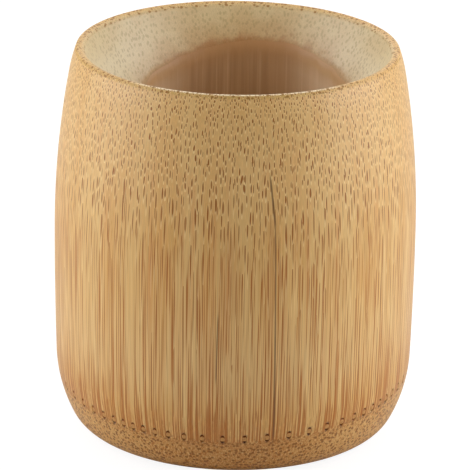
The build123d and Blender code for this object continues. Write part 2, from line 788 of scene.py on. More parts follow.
@dataclass(frozen=True)
class CulmGrain:
    """The grain that runs through the whole culm: upright fibre bundles in paler flesh, in millimetres."""

    hollow: NaturalHollow
    buds: BudRing
    outline: TurnedOutline
    pitch_round: float = 0.9
    pitch_deep: float = 0.27
    taper: float = 0.015
    stagger: float = 0.5
    scatter: float = 0.8
    stretch_start: float = 38.95
    stretch_reach: float = 1.0
    cap: Spindle = Spindle(-0.12, 0.55, 0.185)
    cap_edge: Fade = Fade(1.15, 0.65)
    # Where the painted highlight round each bundle's cut begins and ends.
    halo_highlight_edge: Fade = Fade(2.2, 1.2)
    vessel: Spindle = Spindle(0.45, 0.275, 0.1295)
    vessel_edge: Fade = Fade(1.2, 0.6)
    narrowest: float = 0.7
    widest: float = 1.2
    low_width: Fade = Fade(42.0, 58.0, 0.8, 1.0)
    high_width: Fade = Fade(62.0, 76.0, 1.0, 0.88)
    node_swell: Fade = Fade(2.0, -2.0, 1.0, 1.6)
    seam: Fade = Fade(0.0, 0.3)
    drift: Weave = Weave(0.02, 0.014, 1.0)
    drift_size: float = 1.0
    ruffle: Weave = Weave(0.5, 0.004, 1.0)
    ruffle_size: float = 1.1
    tangle: Weave = Weave(0.7, 0.35, 1.0)
    tangle_size: Fade = Fade(7.0, 0.0, 0.0, 0.1)
    straight_below: Fade = Fade(46.3, 44.0)
    straight_above_node: Fade = Fade(-3.0, -0.5)
    mouth_reach: Fade = Fade(34.7, 33.2)
    mouth_height: Fade = Fade(20.0, 30.0)
    lip_height: Fade = Fade(86.3, 86.7)
    heel_height: Fade = Fade(1.0, -2.5)

    def lay(self, graph: NodeGraph) -> GrainFields:
        """Lays the grain into a material.

        Args:
            graph: the material's node graph.

        Returns:
            The grain's fields.
        """
        place = graph.place()
        reach = graph.length(graph.vector("MULTIPLY", place, FLAT))
        height = graph.axis(place, "Z")
        across = graph.vector("MULTIPLY", graph.vector("SUBTRACT", place, self.hollow.centre), FLAT)
        above_node = self.height_above_node(graph, place)
        drawn_in = graph.math("SUBTRACT", graph.math("DIVIDE", self.outline.belly_radius, reach), 1.0)
        drawn_in = graph.product(drawn_in, graph.step(height, self.straight_below),
                                 graph.step(above_node, self.straight_above_node))
        in_mouth = graph.product(graph.step(reach, self.mouth_reach), graph.step(height, self.mouth_height))
        return GrainFields(
            graph=graph, place=place, reach=reach, height=height, above_node=above_node,
            upright=graph.scaled(place, graph.math("ADD", drawn_in, 1.0)),
            aside=graph.math("ABSOLUTE", graph.axis(place, "X")),
            bearing=graph.bearing(place),
            depth=graph.math("SUBTRACT", graph.length(across), self.hollow.radius),
            zones={Zone.MOUTH: in_mouth, Zone.LIP: graph.step(height, self.lip_height),
                   Zone.HEEL: graph.step(above_node, self.heel_height)},
            **self.cut_bundles(graph, self.sway(graph, place, across, above_node), reach, height, above_node),
        )

    def height_above_node(self, graph: NodeGraph, place: Socket) -> Socket:
        """Measures the height above the leaning plane of the node.

        Args:
            graph: the material's node graph.
            place: the place, in millimetres.

        Returns:
            The height, in millimetres.
        """
        low = radians(self.buds.low_angle)
        slope = self.buds.node_rise / self.outline.belly_radius
        normal = (slope * sin(low), -slope * cos(low), 1.0)
        height = graph.vector("DOT_PRODUCT", place, normal, result="Value")
        return graph.math("SUBTRACT", height, self.buds.node_height)

    def sway(self, graph: NodeGraph, place: Socket, across: Socket, above_node: Socket) -> Socket:
        """Bends the grain slightly along its way, and tangles it at the node.

        Args:
            graph: the material's node graph.
            place: the place, in millimetres.
            across: the place from the hollow's axis, without its height.
            above_node: height above the node.

        Returns:
            Where the bundle at this place starts, as seen from the hollow's axis.
        """
        near_node = graph.step(graph.math("ABSOLUTE", above_node), self.tangle_size)
        bends = ((self.drift, self.drift_size), (self.ruffle, self.ruffle_size), (self.tangle, near_node))
        for weave, size in bends:
            bend = graph.vector("SUBTRACT", graph.noise_node(place, weave).outputs["Color"], NOISE_MIDDLE)
            across = graph.vector("ADD", across, graph.scaled(bend, size))
        return graph.vector("MULTIPLY", across, FLAT)

    def cut_bundles(self, graph: NodeGraph, swayed: Socket, reach: Socket, height: Socket,
                    above_node: Socket) -> dict[str, Socket]:
        """Cuts the lattice of bundles where the surface meets it.

        Args:
            graph: the material's node graph.
            swayed: the place in the lattice, from the hollow's axis.
            reach: distance from the turning axis.
            height: height above the foot.
            above_node: height above the node.

        Returns:
            The masks and random numbers of the bundles, by their names among the grain's fields.
        """
        radius, angle = graph.length(swayed), graph.bearing(swayed)
        outer = graph.math("MAXIMUM", graph.math("SUBTRACT", reach, self.stretch_start), 0.0)
        fading = graph.math("EXPONENT", graph.math("DIVIDE", outer, -self.stretch_reach))
        slowed = graph.math("MULTIPLY_ADD", graph.math("SUBTRACT", 1.0, fading), -self.stretch_reach, outer)
        leaned = graph.math("MULTIPLY_ADD", height, -self.taper, radius)
        ring = graph.math("DIVIDE", graph.math("SUBTRACT", leaned, slowed), self.pitch_deep)
        turn = graph.product(angle, self.outline.belly_radius / self.pitch_round)
        staggered = graph.math("MULTIPLY_ADD", ring, self.stagger, turn)
        spot = graph.node("ShaderNodeCombineXYZ", {0: staggered, 1: ring}).outputs[0]
        feeds = {"Vector": spot, "Scale": 1.0, "Randomness": self.scatter}
        cells = graph.node("ShaderNodeTexVoronoi", feeds, voronoi_dimensions="2D").outputs
        chance = graph.node("ShaderNodeSeparateColor", {0: cells["Color"]}).outputs
        offset = graph.vector("SUBTRACT", spot, cells["Position"])
        along = graph.axis(offset, "Y")
        aside = graph.math("MULTIPLY_ADD", along, -self.stagger, graph.axis(offset, "X"))
        aside = graph.product(aside, radius, self.pitch_round / self.outline.belly_radius)
        size = graph.product(graph.spread(chance["Green"], self.narrowest, self.widest),
                             graph.step(above_node, self.node_swell), graph.step(height, self.low_width),
                             graph.step(height, self.high_width))
        from_seam = graph.product(graph.math("SUBTRACT", pi, graph.math("ABSOLUTE", angle)), radius)
        whole = graph.step(from_seam, self.seam)
        spindle = self.cap.measure(graph, along, aside, size)
        cap = graph.product(graph.step(spindle, self.cap_edge), whole)
        # rim: the painted highlight round the cut
        rim = graph.product(graph.step(spindle, self.halo_highlight_edge), graph.math("SUBTRACT", whole, cap))
        vessel = graph.step(self.vessel.measure(graph, along, aside, size), self.vessel_edge)
        return {"cap": cap, "rim": rim, "vessel": vessel, "chance": chance["Red"], "tint": chance["Blue"]}


@dataclass(frozen=True)
class FleshGround:
    """The flesh between the bundles: tan outside, paler in the mouth and browner on the heel, with painted
    light and shade on the shoulder, the mouth's and heel's sides and the lip.
    """

    warm: Colour = srgb(218, 166, 92)
    pale: Colour = srgb(226, 182, 112)
    broad: Weave = Weave(0.22, 0.006, 3.0, 0.6)
    warm_level: Fade = Fade(0.35, 0.62)
    blush: Colour = srgb(210, 142, 74)
    narrow: Weave = Weave(0.6, 0.012)
    blush_level: Fade = Fade(0.52, 0.75, 0.0, 0.6)
    # Painted light: the flesh paler towards the rim, standing in for the light from above on the shoulder,
    # which tilts upwards.
    shoulder: Colour = srgb(236, 192, 128)
    shoulder_light_height: Fade = Fade(52.0, 74.0, 0.0, 0.4)
    low: Colour = srgb(234, 196, 136)
    low_height: Fade = Fade(46.0, 26.0, 0.0, 0.38)
    low_above_node: Fade = Fade(3.0, 14.0)
    stain_above_node: Fade = Fade(8.0, 0.0, 0.0, 0.12)
    lip: Colour = srgb(206, 164, 88)
    lip_height: Fade = Fade(86.2, 86.8)
    # The lip's tint is real; its fading towards the right, which leaves that side paler, is painted light.
    lip_tint_fade_for_sheen: Fade = Fade(14.0, 30.0, 0.7, 0.2)
    # Painted highlight: a near-white line on the crest of the lip, at the front only, standing in for the
    # back lamp's gloss on the rounded edge.
    crest: Colour = srgb(247, 231, 192)
    crest_highlight_height: Fade = Fade(87.1, 87.2, 0.0, 0.9)
    crest_highlight_front: Fade = Fade(-24.0, -32.0)
    mouth: Colour = srgb(219, 196, 146)
    mouth_warm: Colour = srgb(214, 187, 136)
    mottle: Weave = Weave(0.16, 0.16, 3.0, 0.6)
    mouth_warm_level: Fade = Fade(0.4, 0.6)
    # Painted light: the mouth paler to the left and right, where the opposite side lamps light the inner
    # wall, more so lower down.
    mouth_lit_flank: Colour = srgb(233, 217, 180)
    mouth_lit_aside: Fade = Fade(14.0, 28.0)
    mouth_lit_depth: Fade = Fade(86.0, 78.0, 0.25, 1.0)
    mouth_share: float = 0.95
    # The heel's brown is partly the node's darker tissue and partly painted shade, which lifts towards the
    # left and right.
    heel: Colour = srgb(199, 142, 70)
    heel_lit_flank: Colour = srgb(212, 162, 92)
    heel_lit_aside: Fade = Fade(8.0, 26.0)

    def lay(self, grain: GrainFields) -> Socket:
        """Colours the flesh.

        Args:
            grain: the grain's fields.

        Returns:
            The flesh's colour.
        """
        graph, height, above_node = grain.graph, grain.height, grain.above_node
        weaves = (self.broad, self.narrow, self.mottle)
        broad, narrow, mottle = (graph.noise(grain.place, weave) for weave in weaves)
        under_belly = graph.step(height, self.low_height)
        tint_fade_for_sheen = graph.step(graph.axis(grain.place, "X"), self.lip_tint_fade_for_sheen)
        highlight_in_front = graph.step(graph.axis(grain.place, "Y"), self.crest_highlight_front)
        # painted light on the mouth's left and right sides
        lit_flank = graph.step(grain.aside, self.mouth_lit_aside)
        lit_flank = graph.product(lit_flank, graph.step(height, self.mouth_lit_depth))
        mouth = graph.mix(graph.step(mottle, self.mouth_warm_level), self.mouth, self.mouth_warm)
        mouth = graph.mix(lit_flank, mouth, self.mouth_lit_flank)
        # partly painted shade on the heel, lighter at the sides
        heel = graph.mix(graph.step(grain.aside, self.heel_lit_aside), self.heel, self.heel_lit_flank)
        colour = graph.mix(graph.step(broad, self.warm_level), self.pale, self.warm)
        coats = (
            (graph.step(narrow, self.blush_level), self.blush),
            # painted light on the upward-tilted shoulder
            (graph.step(height, self.shoulder_light_height), self.shoulder),
            (graph.product(under_belly, graph.step(above_node, self.low_above_node)), self.low),
            (graph.step(above_node, self.stain_above_node), STAIN),
            (graph.product(graph.step(height, self.lip_height), tint_fade_for_sheen), self.lip),
            # painted highlight along the front of the lip's crest
            (graph.product(graph.step(height, self.crest_highlight_height), highlight_in_front), self.crest),
            (graph.product(grain.zones[Zone.MOUTH], self.mouth_share), mouth),
            (grain.zones[Zone.HEEL], heel),
        )
        for share, coat in coats:
            colour = graph.mix(share, colour, coat)
        return colour


@dataclass(frozen=True)
class Streaks:
    """Thin fibres along the outside, which come and go with the height above the foot and the node."""

    colour: Colour
    weave: Weave
    level: Fade
    by_height: Fade = Fade(0.0, 1.0, 0.0, 0.0)
    by_node: Fade = Fade(0.0, 1.0, 0.0, 0.0)
    ends: tuple[Fade, ...] = ()

    def lay(self, grain: GrainFields, colour: Socket) -> Socket:
        """Draws the streaks.

        Args:
            grain: the grain's fields.
            colour: the colour below.

        Returns:
            The colour with the streaks.
        """
        graph = grain.graph
        streaks = graph.noise(grain.upright, self.weave)
        streaks = graph.math("ADD", streaks, graph.step(grain.height, self.by_height))
        streaks = graph.math("ADD", streaks, graph.step(grain.above_node, self.by_node))
        outside = graph.math("SUBTRACT", 1.0, grain.zones[Zone.MOUTH])
        ends = (graph.step(grain.above_node, end) for end in self.ends)
        return graph.mix(graph.product(graph.step(streaks, self.level), outside, *ends), colour, self.colour)


@dataclass(frozen=True)
class CutBundles:
    """The cut fibre bundles, with their pale rims, which are painted highlights on the cuts' edges, and
    vessels.
    """

    brown: Colour = srgb(178, 98, 6)
    dark: Colour = srgb(158, 88, 0)
    dark_height: Fade = Fade(46.0, 62.0)
    dark_share: float = 0.7
    # Painted highlight: the pale rim round each bundle's cut stands in for the light caught by the cut's
    # edge.
    rim: Colour = srgb(240, 204, 140)
    halo_highlight_share: float = 0.62
    vessel_share: float = 0.85
    faintest: float = 0.6
    wear: Weave = Weave(2.4, 0.06, 1.0)
    wear_level: Fade = Fade(0.36, 0.5)
    whole_height: Fade = Fade(48.0, 58.0, 0.35, 1.0)
    whole_above_node: Fade = Fade(1.0, 8.0, 0.35, 1.0)
    pale_height: Fade = Fade(54.0, 72.0, 0.4, 1.0)
    pale_above_node: Fade = Fade(2.0, 10.0)

    def lay(self, grain: GrainFields, colour: Socket) -> Socket:
        """Draws the bundles.

        Args:
            grain: the grain's fields.
            colour: the colour below.

        Returns:
            The colour with the bundles.
        """
        graph, height, above_node = grain.graph, grain.height, grain.above_node
        tone = graph.mix(graph.step(height, self.dark_height), self.brown, self.dark)
        tone = graph.mix(graph.product(grain.tint, self.dark_share), tone, self.dark)
        across = graph.math("MAXIMUM", grain.zones[Zone.MOUTH], grain.zones[Zone.HEEL])
        outer = graph.math("SUBTRACT", 1.0, across)
        worn = graph.step(graph.noise(grain.place, self.wear), self.wear_level)
        whole = graph.math("MAXIMUM", graph.step(height, self.whole_height), worn)
        strong = graph.product(grain.cap, graph.spread(grain.chance, self.faintest, 1.0), whole,
                               graph.step(above_node, self.whole_above_node), outer)
        pale = graph.product(outer, graph.step(height, self.pale_height),
                             graph.step(above_node, self.pale_above_node))
        colour = graph.mix(graph.product(grain.rim, pale, self.halo_highlight_share), colour, self.rim)
        colour = graph.mix(strong, colour, tone)
        return graph.mix(graph.product(grain.vessel, pale, self.vessel_share), colour, VESSEL_PALE)


@dataclass(frozen=True)
class Dots:
    """Scattered bundles that are cut across, as dots: so many in a millimetre, and their radius in cells."""

    zone: Zone
    dot: Colour
    across: float
    along: float
    size: float
    strength: float = 0.9
    blur_out: float = 0.06
    blur_in: float = 0.09
    scatter: float = 0.8

    def lay(self, grain: GrainFields, colour: Socket) -> Socket:
        """Draws the dots in their zone.

        Args:
            grain: the grain's fields.
            colour: the colour below.

        Returns:
            The colour with the dots.
        """
        graph = grain.graph
        cells = graph.vector("MULTIPLY", grain.place, (self.across, self.across, self.along))
        feeds = {"Vector": cells, "Scale": 1.0, "Randomness": self.scatter}
        distance = graph.node("ShaderNodeTexVoronoi", feeds).outputs["Distance"]
        edge = Fade(self.size + self.blur_out, self.size - self.blur_in, 0.0, self.strength)
        return graph.mix(graph.product(graph.step(distance, edge), grain.zones[self.zone]), colour, self.dot)


@dataclass(frozen=True)
class HollowEdge:
    """The browning of the flesh towards the hollow, with a soft and ragged edge."""

    pith: Colour = srgb(182, 134, 84)
    weave: Weave = Weave(0.25, 0.2, 4.0, 0.66)
    ragged: float = 1.6
    aside: Fade = Fade(8.0, 20.0, 1.0, 0.6)
    height: Fade = Fade(6.0, 12.0)
    levels: tuple[Fade, ...] = (Fade(3.5, 0.0, 0.0, 0.45), Fade(1.1, -0.2))

    def lay(self, grain: GrainFields, colour: Socket) -> Socket:
        """Browns the flesh.

        Args:
            grain: the grain's fields.
            colour: the colour below.

        Returns:
            The colour with the browned edge.
        """
        graph = grain.graph
        ragged = graph.spread(graph.noise(grain.place, self.weave), -self.ragged, self.ragged)
        depth = graph.math("ADD", grain.depth, ragged)
        share = graph.product(graph.step(grain.aside, self.aside), graph.step(grain.height, self.height))
        for level in self.levels:
            colour = graph.mix(graph.product(graph.step(depth, level), share), colour, self.pith)
        return colour


@dataclass(frozen=True)
class Vein:
    """One dark or pale thread that stands out along the grain, in millimetres and degrees."""

    heights: tuple[float, float]
    angles: tuple[float, float]
    half_width: float
    strength: float
    colour: Colour
    core_share: float = 0.3
    end_share: float = 0.12
    outside: Fade = Fade(35.0, 36.0)

    def lay(self, grain: GrainFields, colour: Socket) -> Socket:
        """Draws the thread.

        Args:
            grain: the grain's fields.
            colour: the colour below.

        Returns:
            The colour with the thread.
        """
        graph = grain.graph
        low, high = self.heights
        way = Fade(low, high, *(radians(angle) for angle in self.angles))
        middle = graph.step(grain.height, way, shape="LINEAR")
        turn = graph.math("ABSOLUTE", graph.math("SUBTRACT", grain.bearing, middle))
        width = Fade(self.half_width, self.half_width * self.core_share, 0.0, self.strength)
        end = (high - low) * self.end_share
        mask = graph.product(graph.step(graph.product(turn, grain.reach), width),
                             graph.step(grain.reach, self.outside),
                             graph.step(grain.height, Fade(low - end, low + end)),
                             graph.step(grain.height, Fade(high + end, high - end)))
        return graph.mix(mask, colour, self.colour)


Layer = Streaks | CutBundles | Dots | HollowEdge | Vein
HAIR = Weave(3.8, 0.036, 1.0)


@dataclass(frozen=True)
class BambooFlesh:
    """Turned, sanded and oiled bamboo: pale flesh near the hollow, tan outside, darker bundles."""

    grain: CulmGrain
    ground: FleshGround = FleshGround()
    layers: tuple[Layer, ...] = (
        # Dark hairs, pale hairs, and the streaks that rise from the node and end in points
        Streaks(srgb(178, 102, 20), HAIR, level=Fade(0.55, 0.65, 0.0, 0.9),
                by_height=Fade(46.0, 66.0, 0.0, -0.17)),
        Streaks(srgb(238, 200, 132), HAIR, level=Fade(0.44, 0.34, 0.0, 0.45),
                by_height=Fade(46.0, 66.0, 0.0, 0.17)),
        Streaks(srgb(180, 106, 30), Weave(2.6, 0.022, 0.5), level=Fade(0.63, 0.7, 0.0, 0.85),
                by_node=Fade(19.0, -1.0, -0.09, 0.15), ends=(Fade(20.0, 12.0), Fade(-3.0, 0.0))),
        # Bundles, first those that the side cuts at a slant, then those that are cut across
        CutBundles(),
        Dots(Zone.HEEL, srgb(142, 84, 14), across=1.15, along=1.15, size=0.4),
        Dots(Zone.MOUTH, srgb(172, 146, 96), across=1.3, along=0.65, size=0.37, strength=0.414),
        Dots(Zone.LIP, srgb(160, 108, 38), across=1.0, along=1.0, size=0.36),
        HollowEdge(),
        # One long dark thread in three stretches, a short dark one, a pale one and two faint stains
        Vein((59.5, 70.0), (12.5, 10.9), half_width=0.3, strength=0.8, colour=VEIN_BROWN),
        Vein((35.0, 59.5), (13.0, 12.5), half_width=0.24, strength=0.72, colour=VEIN_BROWN),
        Vein((9.5, 36.0), (13.4, 13.0), half_width=0.28, strength=0.8, colour=VEIN_BROWN),
        Vein((24.0, 39.0), (-5.2, -4.8), half_width=0.24, strength=0.7, colour=VEIN_BROWN),
        Vein((29.0, 50.0), (55.0, 54.0), half_width=0.35, strength=0.5, colour=VESSEL_PALE),
        Vein((39.0, 56.0), (-1.8, -1.4), half_width=2.8, strength=0.25, colour=STAIN),
        Vein((37.0, 60.0), (11.4, 11.2), half_width=1.0, strength=0.3, colour=STAIN),
    )
    fibres: Weave = Weave(5.0, 0.06)
    fibre_shade: float = 0.2
    # Painted shade in the bud pits, darkest deep down and at the pores' ends.
    pit: Colour = srgb(84, 36, 4)
    cap_relief: float = -0.6
    lip_roughness: float = 0.3

    def material(self) -> Material:
        """Makes the finish.

        Returns:
            The material.
        """
        graph = NodeGraph(bpy.data.materials.new("bamboo_flesh"))
        grain = self.grain.lay(graph)
        colour = self.ground.lay(grain)
        for layer in self.layers:
            colour = layer.lay(grain, colour)
        fibres = graph.noise(grain.place, self.fibres)
        value = graph.spread(fibres, 1.0 - self.fibre_shade, 1.0 + self.fibre_shade)
        shade = graph.node("ShaderNodeHueSaturation", {"Value": value, "Color": colour})
        # painted shade in the bud pits
        colour = graph.mix(graph.attribute("pit"), shade.outputs["Color"], self.pit)
        relief = graph.math("MULTIPLY_ADD", grain.cap, self.cap_relief, fibres)
        roughness = graph.spread(fibres, low=0.38, high=0.52)
        roughness = graph.math("MULTIPLY_ADD", grain.zones[Zone.LIP], self.lip_roughness, roughness)
        return graph.finish(colour, roughness, relief, relief_depth=0.012, shine=0.42, coat=0.2)


@dataclass(frozen=True)
class SkinFinish:
    """The culm's brown inner skin, ribbed along the grain, warmer where the mouth's cone cuts it, and paler
    to the left and right as painted light.
    """

    brown: Colour = srgb(187, 147, 106)
    dark: Colour = srgb(175, 135, 95)
    ribs: Weave = Weave(0.55, 0.012, 3.0, 0.6)
    rib_level: Fade = Fade(0.35, 0.65)
    pale: Colour = srgb(216, 182, 146)
    threads: Weave = Weave(1.5, 0.015)
    thread_level: Fade = Fade(0.52, 0.7, 0.0, 0.32)
    # Painted light: the skin and its cut edge paler to the left and right, where the opposite side lamps
    # light the inner wall.
    flank: Colour = srgb(232, 202, 166)
    lit_flank_aside: Fade = Fade(9.0, 21.0)
    lit_flank_share: float = 0.8
    cut: Colour = srgb(182, 134, 84)
    cut_lit_flank: Colour = srgb(192, 148, 96)

    def material(self) -> Material:
        """Makes the finish.

        Returns:
            The material.
        """
        graph = NodeGraph(bpy.data.materials.new("inner_skin"))
        place = graph.place()
        ribs, threads = graph.noise(place, self.ribs), graph.noise(place, self.threads)
        # painted light on the skin's left and right sides
        lit_flank = graph.step(graph.math("ABSOLUTE", graph.axis(place, "X")), self.lit_flank_aside)
        colour = graph.mix(graph.step(ribs, self.rib_level), self.dark, self.brown)
        colour = graph.mix(graph.step(threads, self.thread_level), colour, self.pale)
        colour = graph.mix(graph.product(lit_flank, self.lit_flank_share), colour, self.flank)
        colour = graph.mix(graph.attribute("cut"), colour, graph.mix(lit_flank, self.cut, self.cut_lit_flank))
        roughness = graph.spread(ribs, low=0.4, high=0.6)
        return graph.finish(colour, roughness, threads, relief_depth=0.05, shine=0.4, coat=0.2)


@dataclass(frozen=True)
class SeptumFinish:
    """The node's cross wall: swirled, tangled tissue, brown and matt."""

    brown: Colour = srgb(168, 122, 76)
    pale: Colour = srgb(200, 160, 108)
    swirl: Weave = Weave(0.25, 0.25, 4.0, 0.6)
    swirl_reach: float = 3.0
    pale_level: Fade = Fade(0.35, 0.65)
    dark: Colour = srgb(120, 80, 46)
    threads: Weave = Weave(1.4, 0.4, 3.0, 0.6)
    dark_level: Fade = Fade(0.5, 0.7, 0.0, 0.7)

    def material(self) -> Material:
        """Makes the finish.

        Returns:
            The material.
        """
        graph = NodeGraph(bpy.data.materials.new("septum_wood"))
        place = graph.place()
        swirl = graph.noise_node(place, self.swirl).outputs
        bent = graph.vector("ADD", place, graph.scaled(swirl["Color"], self.swirl_reach))
        threads = graph.noise(bent, self.threads)
        colour = graph.mix(graph.step(swirl["Fac"], self.pale_level), self.brown, self.pale)
        colour = graph.mix(graph.step(threads, self.dark_level), colour, self.dark)
        roughness = graph.spread(threads, low=0.55, high=0.75)
        return graph.finish(colour, roughness, threads, relief_depth=0.06, shine=0.3, coat=0.0)


@dataclass(frozen=True)
class BudFinish:
    """A root bud cut across: a pale core in a darker ring."""

    ring: Colour = srgb(176, 106, 44)
    core: Colour = srgb(202, 146, 80)
    core_level: Fade = Fade(0.1, 0.75)
    pore: Colour = srgb(150, 92, 40)
    specks: Weave = Weave(3.0, 3.0)
    pore_level: Fade = Fade(0.55, 0.75, 0.0, 0.6)

    def material(self) -> Material:
        """Makes the finish.

        Returns:
            The material.
        """
        graph = NodeGraph(bpy.data.materials.new("bud_wood"))
        specks = graph.noise(graph.place(), self.specks)
        colour = graph.mix(graph.step(graph.attribute("core"), self.core_level), self.ring, self.core)
        colour = graph.mix(graph.step(specks, self.pore_level), colour, self.pore)
        roughness = graph.spread(specks, low=0.4, high=0.6)
        return graph.finish(colour, roughness, specks, relief_depth=0.03, shine=0.4, coat=0.1)


@dataclass(frozen=True)
class RingStep:
    """One push of a ring along a bud's axis: how far out, its new size, and the mark that it gets."""

    rise: float
    shrink: float
    mark: float


@dataclass(frozen=True)
class CupWall:
    """The turned wall of the culm, from the foot ring to the lip, with its coned mouth."""

    outline: TurnedOutline
    hollow: NaturalHollow
    buds: BudRing
    foot_ring: float = 6.6
    recess_round: float = 0.8
    foot_edge: float = 0.3
    columns: int = 576
    row: float = 0.42
    band_share: float = 0.1
    pit_margin: float = 1.3
    pit_columns: int = 4
    # How dark the painted shade is at each pit's brim; pit_steps give it deeper down.
    pit_brim_shade: float = 0.5
    pit_steps: tuple[RingStep, ...] = (RingStep(-0.1, 0.9, 0.9), RingStep(-0.5, 0.85, 1.0))
    pore: float = 0.72
    pore_range: float = 0.9
    pore_most: float = 0.92
    pore_least: float = 0.08
    pore_sharpness: int = 3
    pore_pitch: float = 1.7
    pore_end: float = 3.3
    pore_layer: float = 0.5

    def build(self, finish: BambooFlesh) -> SceneObject:
        """Turns the wall, lets the hollow grow into it and opens the bud pits.

        Args:
            finish: the bamboo's finish.

        Returns:
            The wall as a piece.
        """
        mesh, rest = bmesh.new(), bmesh.new()
        top = self.trace_node(mesh)
        self.trace_rest(rest, top)
        for part in (mesh, rest):
            turn_on_lathe(part, self.columns)
        self.open_pits(mesh)
        join(mesh, rest)
        self.grow_hollow(mesh)
        return make_piece(mesh, "turned_wall", "cup_wall", finish.material())

    def trace_node(self, mesh: Mesh) -> Vector:
        """Traces the section of the band that holds the node, in close rows.

        Args:
            mesh: the mesh that takes the section.

        Returns:
            Radius and height of the band's top edge.
        """
        out = self.outline
        flank, _ = out.heel_radii
        flank_turn = radians(out.heel_lean) - out.flank_turn
        tracer = OutlineTracer(mesh, out.heel_top, radians(-out.heel_lean))
        tracer.arc(flank, flank_turn, steps=round(flank * flank_turn / self.row))
        tracer.arc(out.lower_radius, out.flank_turn * self.band_share, steps=7)
        return Vector((tracer.tip.co.x, tracer.tip.co.z))

    def trace_rest(self, mesh: Mesh, top: Vector) -> None:
        """Traces the rest of the section: up to the lip, down the inside and round the foot.

        Args:
            mesh: the mesh that takes the section.
            top: radius and height of the top edge of the node's band.
        """
        out, hollow = self.outline, self.hollow
        recess = out.foot_radius - self.foot_ring
        upper, shoulder = out.upper_radii
        lower_turn = out.flank_turn * (1 - self.band_share)
        slope = radians(out.lip_slope)
        crest_turn = radians(90 + out.lip_slope - out.rim_lean)
        edge_turn = radians(90 - out.lip_slope - out.mouth_lean)
        trim = out.lip_inner_round * tan(edge_turn / 2)
        land = out.mouth_edge + trim * heading(slope).xy

        tracer = OutlineTracer(mesh, top, -lower_turn)
        tracer.arc(out.lower_radius, lower_turn, steps=10)
        tracer.arc(upper, radians(out.shoulder_lean), steps=14)
        tracer.arc(shoulder, radians(out.rim_lean - out.shoulder_lean), steps=7)
        tracer.arc(out.lip_round, crest_turn, steps=6)
        tracer.line(land.x, land.y, steps=2)
        tracer.facing = QUARTER_TURN + slope
        tracer.arc(out.lip_inner_round, edge_turn, steps=5)
        tracer.line(hollow.radius, out.mouth_height(hollow.radius), steps=8, region=Region.MOUTH)
        tracer.line(hollow.radius, hollow.corner_top, steps=5, region=Region.HOLLOW)
        tracer.facing = pi
        tracer.arc(-hollow.corner, QUARTER_TURN, steps=5, region=Region.FLOOR)
        tracer.line(hollow.seat_radius, hollow.seat_bottom, steps=2, region=Region.FLOOR)
        tracer.line(recess - self.recess_round, hollow.seat_bottom)
        tracer.facing = -QUARTER_TURN
        tracer.arc(-self.recess_round, QUARTER_TURN, steps=4)
        tracer.line(recess, self.foot_edge)
        tracer.line(recess + self.foot_edge, 0)
        tracer.line(out.foot_radius, 0, steps=3)
        tracer.facing = -QUARTER_TURN
        tracer.arc(out.heel_radii[1], radians(90 - out.heel_lean), steps=13)

    def grow_hollow(self, mesh: Mesh) -> None:
        """Moves the inside of the wall out to the culm's own hollow, which lies off the axis.

        Args:
            mesh: the wall's mesh.
        """
        out, hollow = self.outline, self.hollow
        region = mesh.verts.layers.int["region"]
        edge = out.mouth_edge.x
        nominal_top = out.mouth_height(hollow.radius)
        for vert in mesh.verts:
            kind = vert[region]
            if kind == Region.OUTSIDE:
                continue
            if kind == Region.FLOOR:
                vert.co += hollow.centre
                continue
            angle = atan2(vert.co.y, vert.co.x)
            radius = hollow.reach(angle)
            height = out.mouth_height(radius)
            if kind == Region.MOUTH:
                share = (edge - vert.co.xy.length) / (edge - hollow.radius)
                radius = edge + (radius - edge) * share
                height = out.mouth_height(radius)
            else:
                share = (nominal_top - vert.co.z) / (nominal_top - hollow.corner_top)
                height += (hollow.corner_top - height) * share
            vert.co = Vector((radius * cos(angle), radius * sin(angle), height))

    def open_pits(self, mesh: Mesh) -> None:
        """Opens an oval pit in the wall's surface at each root bud.

        Args:
            mesh: the mesh of the band that holds the node.
        """
        # The pit layer carries painted shade, darker deeper in each pit.
        pit = mesh.verts.layers.float.new("pit")
        column = FULL_TURN / self.columns
        band: dict[int, list[tuple[Face, float]]] = {}
        highest = self.buds.node_height + self.buds.node_rise + 2 * self.pit_margin
        for face in mesh.faces:
            middle = face.calc_center_median()
            if middle.z < highest:
                turn = atan2(middle.y, middle.x) % FULL_TURN
                band.setdefault(int(turn / column), []).append((face, middle.z))
        for index in range(self.buds.count):
            place = self.buds.place(index, self.outline)
            spot = place.translation
            first = round((atan2(spot.y, spot.x) % FULL_TURN) / column) - self.pit_columns // 2
            block = [face for step in range(self.pit_columns)
                     for face, height in band[(first + step) % self.columns]
                     if abs(height - spot.z) < self.pit_margin]
            self.open_pit(mesh, place, index, block, pit)

    def open_pit(self, mesh: Mesh, place: Matrix, index: int, block: list[Face], pit: VertMark) -> None:
        """Opens one pit.

        Args:
            mesh: the mesh of the band that holds the node.
            place: the bud's frame on the surface.
            index: the bud's number round the ring.
            block: the faces that the pit takes the place of.
            pit: the layer of painted shade, which marks how deep in the pit a vertex lies.
        """
        inside = set(block)
        rim = [edge for edge in {edge for face in block for edge in face.edges}
               if sum(face in inside for face in edge.link_faces) == 1]
        bmesh.ops.delete(mesh, geom=block, context="FACES")
        shape = place @ Matrix.Diagonal((self.buds.width / 2, self.buds.height / 2, 1, 1))
        made = bmesh.ops.create_circle(mesh, cap_ends=False, segments=len(rim), radius=1.0, matrix=shape)
        for vert in made["verts"]:
            vert.co.xy *= self.outline.outside_radius(vert.co.z) / vert.co.xy.length
        self.darken(made["verts"], place, index, pit, self.pit_brim_shade)
        edges = ring_edges(made["verts"])
        bmesh.ops.bridge_loops(mesh, edges=rim + edges)
        outward = place.to_3x3().col[2]
        for step in self.pit_steps:
            verts, edges = push_ring(mesh, edges, outward * step.rise, step.shrink, place.translation)
            self.darken(verts, place, index, pit, step.mark)
        bmesh.ops.edgeloop_fill(mesh, edges=edges)

